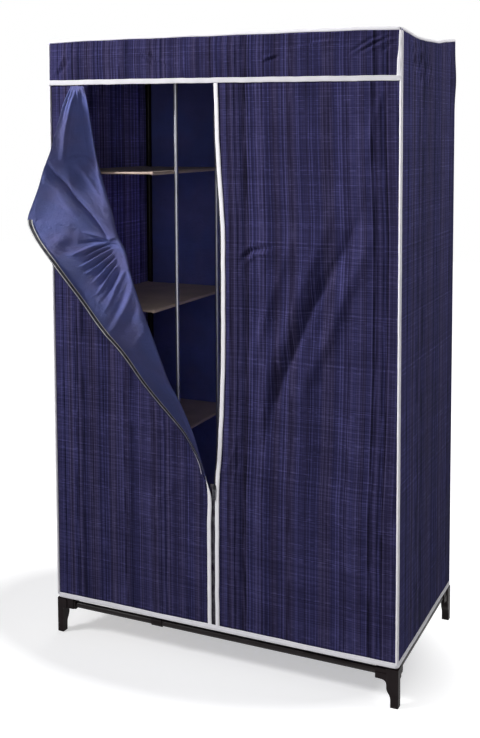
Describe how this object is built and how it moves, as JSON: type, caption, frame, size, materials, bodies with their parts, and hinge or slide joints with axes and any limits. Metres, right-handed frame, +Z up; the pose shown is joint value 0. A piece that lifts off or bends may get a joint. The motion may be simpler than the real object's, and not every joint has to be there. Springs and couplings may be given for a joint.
{
  "type": "portable fabric wardrobe",
  "caption": "Zip-up cloth wardrobe on a knock-down tube frame, with a narrow shelf bay beside a hanging rail, white-bound edges and one door corner folded out.",
  "frame": {"origin": "on the floor, at the middle of the whole box, which takes in the folded-out corner of the left door", "axes": "+Z up, +X to the right as seen from the front, and the zipped front faces -Y"},
  "size_m": [0.9, 0.5962, 1.5],
  "materials": {
    "navy_cloth": "woven, matt",
    "lining_cloth": "woven coated back, soft sheen",
    "white_binding": "matt bias tape",
    "shelf_cloth": "matt, stiffened board",
    "zip_tape": "matt woven tape",
    "brown_plastic": "moulded, satin",
    "brown_tube": "stoved paint, semi-gloss",
    "bright_tube": "bright plated",
    "zip_metal": "dark lacquer"
  },
  "bodies": {
    "cabinet": {"back_panel": "navy_cloth", "base_rail_front": "brown_tube", "base_rail_left": "brown_tube", "base_rail_rear": "brown_tube", "base_rail_right": "brown_tube", "closed_zip": "zip_tape", "corner_piping_left": "white_binding", "corner_piping_right": "white_binding", "divider_base_rail": "brown_tube", "divider_base_tee_front": "brown_plastic", "divider_base_tee_rear": "brown_plastic", "divider_top_rail": "brown_tube", "divider_top_tee_front": "brown_plastic", "divider_top_tee_rear": "brown_plastic", "divider_upright_front": "bright_tube", "divider_upright_rear": "bright_tube", "hanging_rail": "brown_tube", "hanging_rail_tee_left": "brown_plastic", "hanging_rail_tee_right": "brown_plastic", "header_binding": "white_binding", "header_panel": "navy_cloth", "hem_binding": "white_binding", "left_door": "navy_cloth", "left_door_binding": "white_binding", "leg_front_left": "brown_plastic", "leg_front_right": "brown_plastic", "leg_rear_left": "brown_plastic", "leg_rear_right": "brown_plastic", "right_door": "navy_cloth", "right_door_binding": "white_binding", "roof_panel": "navy_cloth", "roof_piping": "white_binding", "shelf_1": "shelf_cloth", "shelf_2": "shelf_cloth", "shelf_3": "shelf_cloth", "shelf_4": "shelf_cloth", "side_panel_left": "navy_cloth", "side_panel_right": "navy_cloth", "top_joint_front_left": "brown_plastic", "top_joint_front_right": "brown_plastic", "top_joint_rear_left": "brown_plastic", "top_joint_rear_right": "brown_plastic", "top_rail_front": "brown_tube", "top_rail_left": "brown_tube", "top_rail_rear": "brown_tube", "top_rail_right": "brown_tube", "upright_front_left": "brown_tube", "upright_front_right": "brown_tube", "upright_rear_left": "brown_tube", "upright_rear_right": "brown_tube"},
    "left_corner": {"left_door_corner": "lining_cloth", "left_corner_zip_tape": "zip_tape", "left_corner_binding": "white_binding"},
    "right_corner": {"right_door_corner": "navy_cloth", "right_corner_zip_tape": "zip_tape", "right_corner_binding": "white_binding"},
    "slider": {"zip_slider": "zip_metal"},
    "pull": {"zip_pull": "zip_metal"}
  },
  "joints": [
    {"name": "left_corner_fold", "type": "hinge", "parent": "cabinet", "child": "left_corner", "pos_m": [-0.024, -0.18918, 0.44], "axis": [-0.3448, 0, 0.9387], "range_deg": [0, 115]},
    {"name": "right_corner_fold", "type": "hinge", "parent": "cabinet", "child": "right_corner", "pos_m": [0.024, -0.18998, 0.44], "axis": [0.3448, 0, 0.9387], "range_deg": [0, 150]},
    {"name": "zip_slide", "type": "slide", "parent": "cabinet", "child": "slider", "axis": [0, 0, 1], "range_m": [-0.325, 0.93]},
    {"name": "pull_swing", "type": "hinge", "parent": "slider", "child": "pull", "pos_m": [0, -0.19448, 0.4414], "axis": [-1, 0, 0], "range_deg": [0, 150]}
  ]
}
